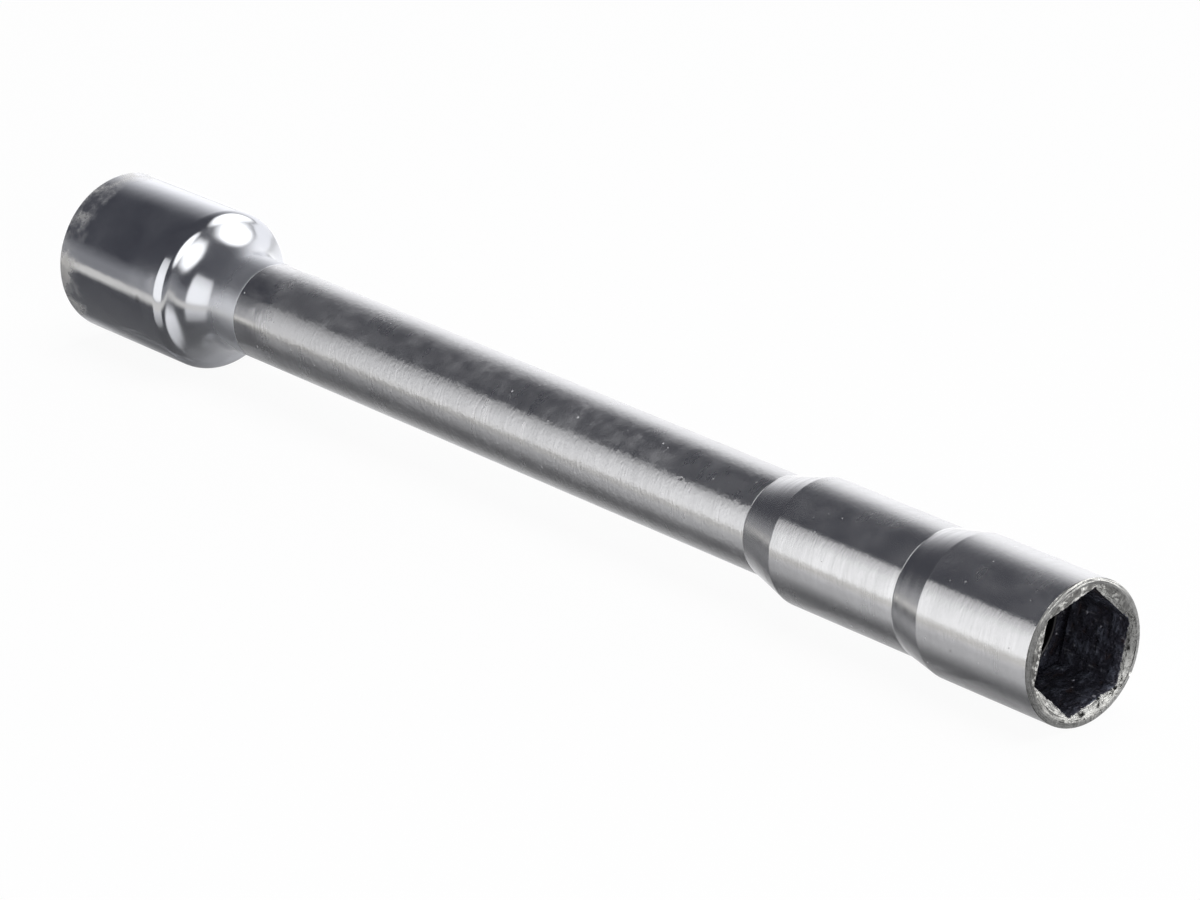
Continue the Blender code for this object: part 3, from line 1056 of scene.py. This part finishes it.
class WRENCH_OT_hex_nose(bpy.types.Operator):
    """Models the socket end: cone, ground body, worn mouth, broached hexagon, relief and land"""

    bl_idname = "wrench.hex_nose"
    bl_label = "Hex Nose"

    def execute(self, context):
        nose = context.scene.wrench_nose
        joint = context.scene.wrench_joint
        grip = context.scene.wrench_grip
        corner = nose.hex_across_flats / math.sqrt(3)
        bore = BARREL_RADIUS - joint.nose_spigot_shoulder + joint.gap
        land = bore - nose.land_height
        relief = corner + nose.relief_depth
        start = NOSE_LOW.x - reach_into_gap(joint)
        cone_end = NOSE_LOW.x + nose.taper_length
        bore_end = GRIP_HIGH.x + joint.gap
        land_end = bore_end + nose.land_length
        hex_end = MOUTH - nose.hex_depth
        worn_end = MOUTH - nose.worn_length
        bevel_start = NOSE_RADIUS - nose.rim_bevel
        outline = rounded([
            (MOUTH, bevel_start - nose.rim_round / 2, 0.0),
            (MOUTH, bevel_start, nose.rim_round),
            (MOUTH - nose.rim_bevel_depth, NOSE_RADIUS, nose.rim_round),
            (MOUTH - nose.worn_length / 2, NOSE_RADIUS, 0.0),
            (worn_end, NOSE_RADIUS, 0.0),
            (worn_end - nose.worn_length / 2, NOSE_RADIUS, 0.0),
            (cone_end, NOSE_RADIUS, nose.taper_blend),
            (start, BARREL_RADIUS, joint.seam_round),
            (start, bore, 0.0),
            (bore_end, bore, 0.0),
            (bore_end, land, grip.edge_round),
            (land_end, land, grip.edge_round),
            (land_end, relief, 0.0),
            (hex_end - FACE_DISH, relief, 0.0),
        ])
        piece = turned("socket_hex_nose", outline, MOUTH_SIDES)

        bpy.ops.object.mode_set(mode="EDIT")
        wide = corner + nose.hex_lead_in
        half_side = math.radians(30)
        turn = nose.hex_clocking - half_side
        hex_start = MOUTH - FACE_DISH
        add_flat_sided_ring(piece, hex_start, 6, wide, nose.hex_corner_round, turn, MOUTH_SIDES)
        slope_rings = 4
        radius = wide
        for _ in range(slope_rings):
            narrower = radius - nose.hex_lead_in / slope_rings
            push_ring(-nose.hex_lead_in / slope_rings, narrower / radius, hex_start)
            radius = narrower
        wall_rings = 24
        for _ in range(wall_rings):
            push_ring((hex_end - hex_start + nose.hex_lead_in) / wall_rings)
        face_rings = 9
        bridge_between(piece, hex_start, MOUTH, cuts=face_rings)
        bridge_between(piece, hex_end - FACE_DISH, hex_end)
        weld_and_face_out()

        def near_mouth(at):
            """Grows towards the mouth, and is least at its outline."""
            steepness, least = 1.5, 0.1
            ahead = min(max((at.x - worn_end) / (MOUTH - worn_end) * steepness, 0.0), 1.0)
            inward = min(max((NOSE_RADIUS - off_axis(at)) / nose.rim_bevel, least), 1.0)
            return ahead * inward

        def chipped_side(at):
            """The same, low on the far side of the mouth's face alone."""
            onset, steepness = 0.35, 1.6
            inside = 1.0 if off_axis(at) < bevel_start else 0.0
            towards = min(max((at.y - at.z) / NOSE_RADIUS - onset, 0.0) * steepness, 1.0)
            return near_mouth(at) * inside * towards

        def on_walls(at):
            """All of the hexagon's walls behind its lip."""
            lip = 0.001
            return 1.0 if hex_end + NEAR < at.x < MOUTH - lip and off_axis(at) < relief else 0.0

        start_fresh()
        piece.select_set(True)
        wear(piece, "rim_wear", level=0.8, grain=0.0009, depth=nose.rim_wear, weight=near_mouth)
        wear(piece, "rim_nicks", level=0.75, grain=0.00045, depth=nose.rim_wear, weight=near_mouth)
        wear(piece, "rim_chips", level=0.8, grain=0.0006, depth=2 * nose.rim_wear, weight=chipped_side)
        wear(piece, "broach_tears", level=0.5, grain=0.0007, depth=0.00008, weight=on_walls)

        steel = ground_steel("ground_nose_steel", nose.steel, nose.grind, nose.unevenness)
        cone = shared_finish(turned_cone_steel)
        rim = worn_rim_steel("worn_rim_steel", nose.rim, brightened=0.5, scratched=0.8)
        bevel = worn_rim_steel("dull_bevel_steel", nose.bevel, brightened=0.15, scratched=0.5)
        lead_in = worn_rim_steel("rubbed_lead_in_steel", nose.rubbed, brightened=0.8, scratched=0.8)
        black = broached_black(nose)
        bored = shared_finish(bored_steel)
        rim_back = MOUTH - 1.5 * nose.rim_bevel_depth
        slope_back = hex_start - nose.hex_lead_in
        face_start = wide * math.cos(half_side) * 0.98
        relief_skin = relief * 1.02
        skin = BARREL_RADIUS * 0.99
        paint(piece, [
            (bevel, lambda at: at.x > rim_back and off_axis(at) > bevel_start),
            (lead_in, lambda at: slope_back < at.x < MOUTH - 2 * FACE_DISH and off_axis(at) < bevel_start),
            (rim, lambda at: at.x > slope_back and face_start < off_axis(at) < bevel_start),
            (black, lambda at: at.x > land_end and off_axis(at) < relief_skin),
            (cone, lambda at: at.x < cone_end and off_axis(at) > skin),
            (bored, lambda at: off_axis(at) < skin),
            (steel, everywhere),
        ])
        hand_over(piece, "hex_nose")
        return {"FINISHED"}


class WRENCH_OT_plug_grip(bpy.types.Operator):
    """Models the rubber bush with its flange and ribs"""

    bl_idname = "wrench.plug_grip"
    bl_label = "Plug Grip"

    def execute(self, context):
        grip = context.scene.wrench_grip
        barrel = context.scene.wrench_barrel
        joint = context.scene.wrench_joint
        outer = BARREL_RADIUS - barrel.wall - joint.gap
        bore = outer - grip.wall
        front = GRIP_HIGH.x
        back = GRIP_LOW.x
        step = front - grip.flange
        edge = grip.edge_round
        corners = [
            (back, bore, edge),
            (back, outer, edge),
            (step, outer, 0.0),
            (step, GRIP_HIGH.z, edge),
            (front, GRIP_HIGH.z, edge),
            (front, bore + grip.lead_in, edge),
            (front - grip.lead_in, bore, edge),
        ]
        ribs = 3
        pitch = (front - back) / (ribs + 1)
        for rib in range(ribs):
            middle = front - pitch * (rib + 1)
            half = grip.rib_width / 2
            corners += [
                (middle + half, bore, edge),
                (middle, bore - grip.rib_height, edge),
                (middle - half, bore, edge),
            ]
        piece = turned("ribbed_plug_grip", closed(rounded(corners)))
        paint(piece, [(moulded_rubber(grip), everywhere)])
        hand_over(piece, "plug_grip")
        return {"FINISHED"}


class WRENCH_OT_studio(bpy.types.Operator):
    """Sets up the pale floor, soft lights, world and camera"""

    bl_idname = "wrench.studio"
    bl_label = "Studio"

    def execute(self, context):
        studio = context.scene.wrench_studio
        context.scene.view_settings.view_transform = "Standard"
        self.lay_floor(context, studio)
        self.set_world(context, studio)
        self.hang_lights()
        self.set_camera(context, studio)
        return {"FINISHED"}

    def stage_material(self, name):
        """A material with an empty tree, for something that isn't part of the wrench."""
        material = bpy.data.materials.new(name)
        material.use_nodes = True
        tree = material.node_tree
        tree.nodes.remove(tree.nodes["Principled BSDF"])
        return material, tree

    def lay_floor(self, context, studio):
        """A floor that touches the head's shoulder and the mouth's lower edge."""
        head_rest = DRIVE_FACE + context.scene.wrench_head.cylinder_length
        rise = HEAD_RADIUS - NOSE_RADIUS
        tilt = math.atan2(rise, MOUTH - head_rest)
        start_fresh()
        bpy.ops.mesh.primitive_plane_add(
            size=6.0, location=(head_rest, 0.0, -HEAD_RADIUS), rotation=(0.0, -tilt, 0.0)
        )
        floor = bpy.context.active_object
        floor.name = "floor"
        floor.data.materials.append(self.floor_finish(studio))

    def floor_finish(self, studio):
        """Pale matt floor that keeps a shadow, lifted to white for the camera and redrawn for the metal."""
        material, tree = self.stage_material("pale_floor")
        matt = add(tree, "BsdfDiffuse")
        matt.inputs["Color"].default_value = (*studio.floor, 1.0)
        white = add(tree, "Emission")
        seen = add(tree, "LightPath")
        lift = times(tree, seen.outputs["Is Camera Ray"], 0.94)
        lifted = self.mix_shaders(tree, lift, matt.outputs[0], white.outputs[0])
        shown = self.mix_shaders(tree, seen.outputs["Is Glossy Ray"], lifted, self.mirrored_floor(tree))
        tree.links.new(shown, tree.nodes["Material Output"].inputs["Surface"])
        return material

    def mix_shaders(self, tree, amount, low, high):
        """One shader laid over another by an amount."""
        made = add(tree, "MixShader")
        feed(tree, made.inputs["Fac"], amount)
        tree.links.new(low, made.inputs[1])
        tree.links.new(high, made.inputs[2])
        return made.outputs[0]

    def mirrored_floor(self, tree):
        """The floor as the metal sees it: white behind the wrench, a table before it, then nothing."""
        axes = axes_of(tree, add(tree, "TexCoord").outputs["Object"])
        along, across = axes["X"], axes["Y"]
        table = self.mirrored_table(tree, along, across)
        behind = self.mirrored_white(tree, along, across)
        lit = self.mix_shaders(tree, spread(tree, across, -0.009, 0.008), table, behind)
        nothing = add(tree, "BsdfTransparent")
        return self.mix_shaders(tree, spread(tree, across, -0.085, -0.065), nothing.outputs[0], lit)

    def mirrored_table(self, tree, along, across):
        """A dim glossy table with painted light: a faint glow rising towards the wrench, a strip of light
        that brightens towards the mouth, and a band of white light at the front.
        """
        gloss = add(tree, "BsdfAnisotropic")
        slant = add(tree, "LayerWeight").outputs["Facing"]
        feed(tree, gloss.inputs["Color"], mix_colours(tree, slant, TABLE_FROM_ABOVE, TABLE_AT_A_SLANT))
        gloss.inputs["Roughness"].default_value = 0.15
        # A painted strip of light on the table, brightening towards the mouth
        strip_setback, strip_reach, strip_level = 0.0195, 0.0075, 0.45
        from_strip = calc(tree, "ABSOLUTE", plus(tree, across, strip_setback))
        strip = spread(tree, from_strip, 0.0, strip_reach, strip_level, 0.0)
        strip = times(tree, strip, spread(tree, along, 0.04, 0.175))
        # Painted glow of the table, faint and rising towards the wrench, with the painted strip added
        pale = add(tree, "Emission")
        feed(tree, pale.inputs["Strength"], plus(tree, spread(tree, across, -0.03, 0.0, 0.06, 0.15), strip))
        top = add(tree, "AddShader")
        tree.links.new(gloss.outputs[0], top.inputs[0])
        tree.links.new(pale.outputs[0], top.inputs[1])
        # A painted band of white light at the front of the table
        edge = add(tree, "Emission")
        edge.inputs["Color"].default_value = (*PAINTED_LIGHT_BAND, 1.0)
        edge.inputs["Strength"].default_value = 0.95
        in_light_band = spread(tree, across, -0.046, -0.036, 1.0, 0.0)
        return self.mix_shaders(tree, in_light_band, top.outputs[0], edge.outputs[0])

    def mirrored_white(self, tree, along, across):
        """White floor, shaded where the head rests on it and brighter close behind the wrench."""
        white = add(tree, "Emission")
        shaded = spread(tree, from_middle(tree, along, across), 0.006, 0.03, 0.4, 1.0)
        backdrop = spread(tree, across, 0.05, 0.3, 1.6, 1.0)
        feed(tree, white.inputs["Strength"], times(tree, shaded, backdrop))
        return white.outputs[0]

    def set_world(self, context, studio):
        """White to the camera; to the metal a white sweep behind that fades up into a dim room."""
        world = bpy.data.worlds.new("studio_world")
        world.use_nodes = True
        context.scene.world = world
        tree = world.node_tree
        background = tree.nodes["Background"]
        axes = axes_of(tree, add(tree, "TexCoord").outputs["Generated"])
        steepness, falloff, brightest = 1.1, 2.8, 0.88
        climb = calc(tree, "ABSOLUTE", calc(tree, "ARCTAN2", axes["Z"], axes["Y"]))
        fade = calc(tree, "MINIMUM", times(tree, climb, steepness), math.pi / 2)
        sweep = calc(tree, "MINIMUM", calc(tree, "POWER", calc(tree, "COSINE", fade), falloff), brightest)
        horizon = spread(tree, axes["Z"], 0.0, 0.2, 0.17, 0.0)
        glow = calc(tree, "MAXIMUM", sweep, horizon)
        seen_in_metal = mix_colours(tree, glow, tuple(studio.room), WHITE_SWEEP)
        seen = add(tree, "LightPath")
        shown = mix_colours(tree, seen.outputs["Is Camera Ray"], seen_in_metal, (1.0, 1.0, 1.0))
        feed(tree, background.inputs["Color"], shown)

    def hang_lights(self):
        """Two lamps that the metal doesn't mirror, and three soft panels that only the metal sees."""
        lean = math.radians(70)
        self.hang_lamp("overhead_lamp", (0.1, 0.15, 1.2), (0.0, 0.0, 0.0), size=1.0, energy=12.0)
        self.hang_lamp("fill_lamp", (1.0, -0.45, 0.35), (0.0, lean, -0.42), size=0.4, energy=5.0)
        shoulder = (-0.085, 0.0, 0.0)
        self.add_panel("front_panel", (-0.2, -0.5, 0.165), (-0.2, 0.0, 0.165), (0.72, 0.53), 1.58)
        self.add_panel("right_panel", (0.7, -0.21, 0.59), shoulder, (0.85, 0.85), 2.1, is_round=True)
        self.add_panel("back_panel", (0.144, 0.628, 0.602), shoulder, (1.3, 0.9), 2.4, is_round=True)

    def hang_lamp(self, name, location, rotation, size, energy):
        """A soft lamp that shows neither to the camera nor in the metal."""
        start_fresh()
        bpy.ops.object.light_add(type="AREA", location=location, rotation=rotation)
        lamp = bpy.context.active_object
        lamp.name = name
        lamp.data.size = size
        lamp.data.energy = energy
        lamp.visible_glossy = False
        lamp.visible_camera = False

    def add_panel(self, name, location, facing, size, strength, is_round=False):
        """A soft panel that only the metal sees: oblong and dim at its top, or round and dim at its rim."""
        half = 0.5
        start_fresh()
        if is_round:
            bpy.ops.mesh.primitive_circle_add(vertices=64, radius=half, fill_type="NGON", location=location)
        else:
            bpy.ops.mesh.primitive_plane_add(size=2 * half, location=location)
        panel = bpy.context.active_object
        panel.name = name
        panel.scale = (*size, 1.0)
        ahead = Vector(facing) - Vector(location)
        panel.rotation_euler = ahead.to_track_quat("Z", "Y").to_euler()
        panel.visible_camera = False
        panel.visible_diffuse = False
        panel.visible_shadow = False
        panel.visible_transmission = False
        material, tree = self.stage_material(name)
        glow = add(tree, "Emission")
        here = add(tree, "TexCoord").outputs["Object"]
        if is_round:
            bright_to, rim_level = 0.32, 0.1
            outward = add(tree, "VectorMath", operation="LENGTH")
            tree.links.new(here, outward.inputs[0])
            level = spread(tree, outward.outputs["Value"], bright_to, half, strength, rim_level)
        else:
            top_share = 0.55
            level = spread(tree, axes_of(tree, here)["Y"], 0.0, half, strength, top_share * strength)
        feed(tree, glow.inputs["Strength"], level)
        tree.links.new(glow.outputs[0], tree.nodes["Material Output"].inputs["Surface"])
        panel.data.materials.append(material)

    def set_camera(self, context, studio):
        """The camera at the wrench's three-quarter view."""
        level = math.cos(studio.elevation)
        back = Vector((
            math.sin(studio.azimuth) * level, -math.cos(studio.azimuth) * level, math.sin(studio.elevation)
        ))
        start_fresh()
        bpy.ops.object.camera_add(location=Vector(studio.aim) + back * studio.distance)
        camera = bpy.context.active_object
        camera.rotation_euler = back.to_track_quat("Z", "Y").to_euler()
        camera.data.lens = studio.lens
        context.scene.camera = camera


class WRENCH_PT_pieces(bpy.types.Panel):
    """The wrench's pieces, their settings and the studio"""

    bl_idname = "WRENCH_PT_pieces"
    bl_label = "Spark Plug Wrench"
    bl_space_type = "VIEW_3D"
    bl_region_type = "UI"
    bl_category = "Wrench"

    def draw(self, context):
        for operator in OPERATORS:
            self.layout.operator(operator.bl_idname)
        for name, group in SETTINGS.items():
            box = self.layout.box()
            box.label(text=group.__doc__)
            settings = getattr(context.scene, name)
            for key in group.__annotations__:
                box.prop(settings, key)


SETTINGS = {
    "wrench_joint": JointSettings,
    "wrench_head": HeadSettings,
    "wrench_shaft": ShaftSettings,
    "wrench_barrel": BarrelSettings,
    "wrench_nose": NoseSettings,
    "wrench_grip": GripSettings,
    "wrench_studio": StudioSettings,
}
OPERATORS = (
    WRENCH_OT_effects,
    WRENCH_OT_drive_head,
    WRENCH_OT_shaft,
    WRENCH_OT_barrel,
    WRENCH_OT_hex_nose,
    WRENCH_OT_plug_grip,
    WRENCH_OT_studio,
)
CLASSES = (*SETTINGS.values(), *OPERATORS, WRENCH_PT_pieces)


def register():
    """Registers the classes and hangs the settings on the scene."""
    for made in CLASSES:
        bpy.utils.register_class(made)
    for name, group in SETTINGS.items():
        setattr(bpy.types.Scene, name, PointerProperty(type=group))


def unregister():
    """Takes the settings off the scene and the classes out again."""
    for name in SETTINGS:
        delattr(bpy.types.Scene, name)
    for made in reversed(CLASSES):
        bpy.utils.unregister_class(made)


def main():
    """Builds every piece and the studio."""
    register()
    bpy.ops.wrench.effects()
    bpy.ops.wrench.drive_head()
    bpy.ops.wrench.shaft()
    bpy.ops.wrench.barrel()
    bpy.ops.wrench.hex_nose()
    bpy.ops.wrench.plug_grip()
    bpy.ops.wrench.studio()


if __name__ == "__main__":
    main()
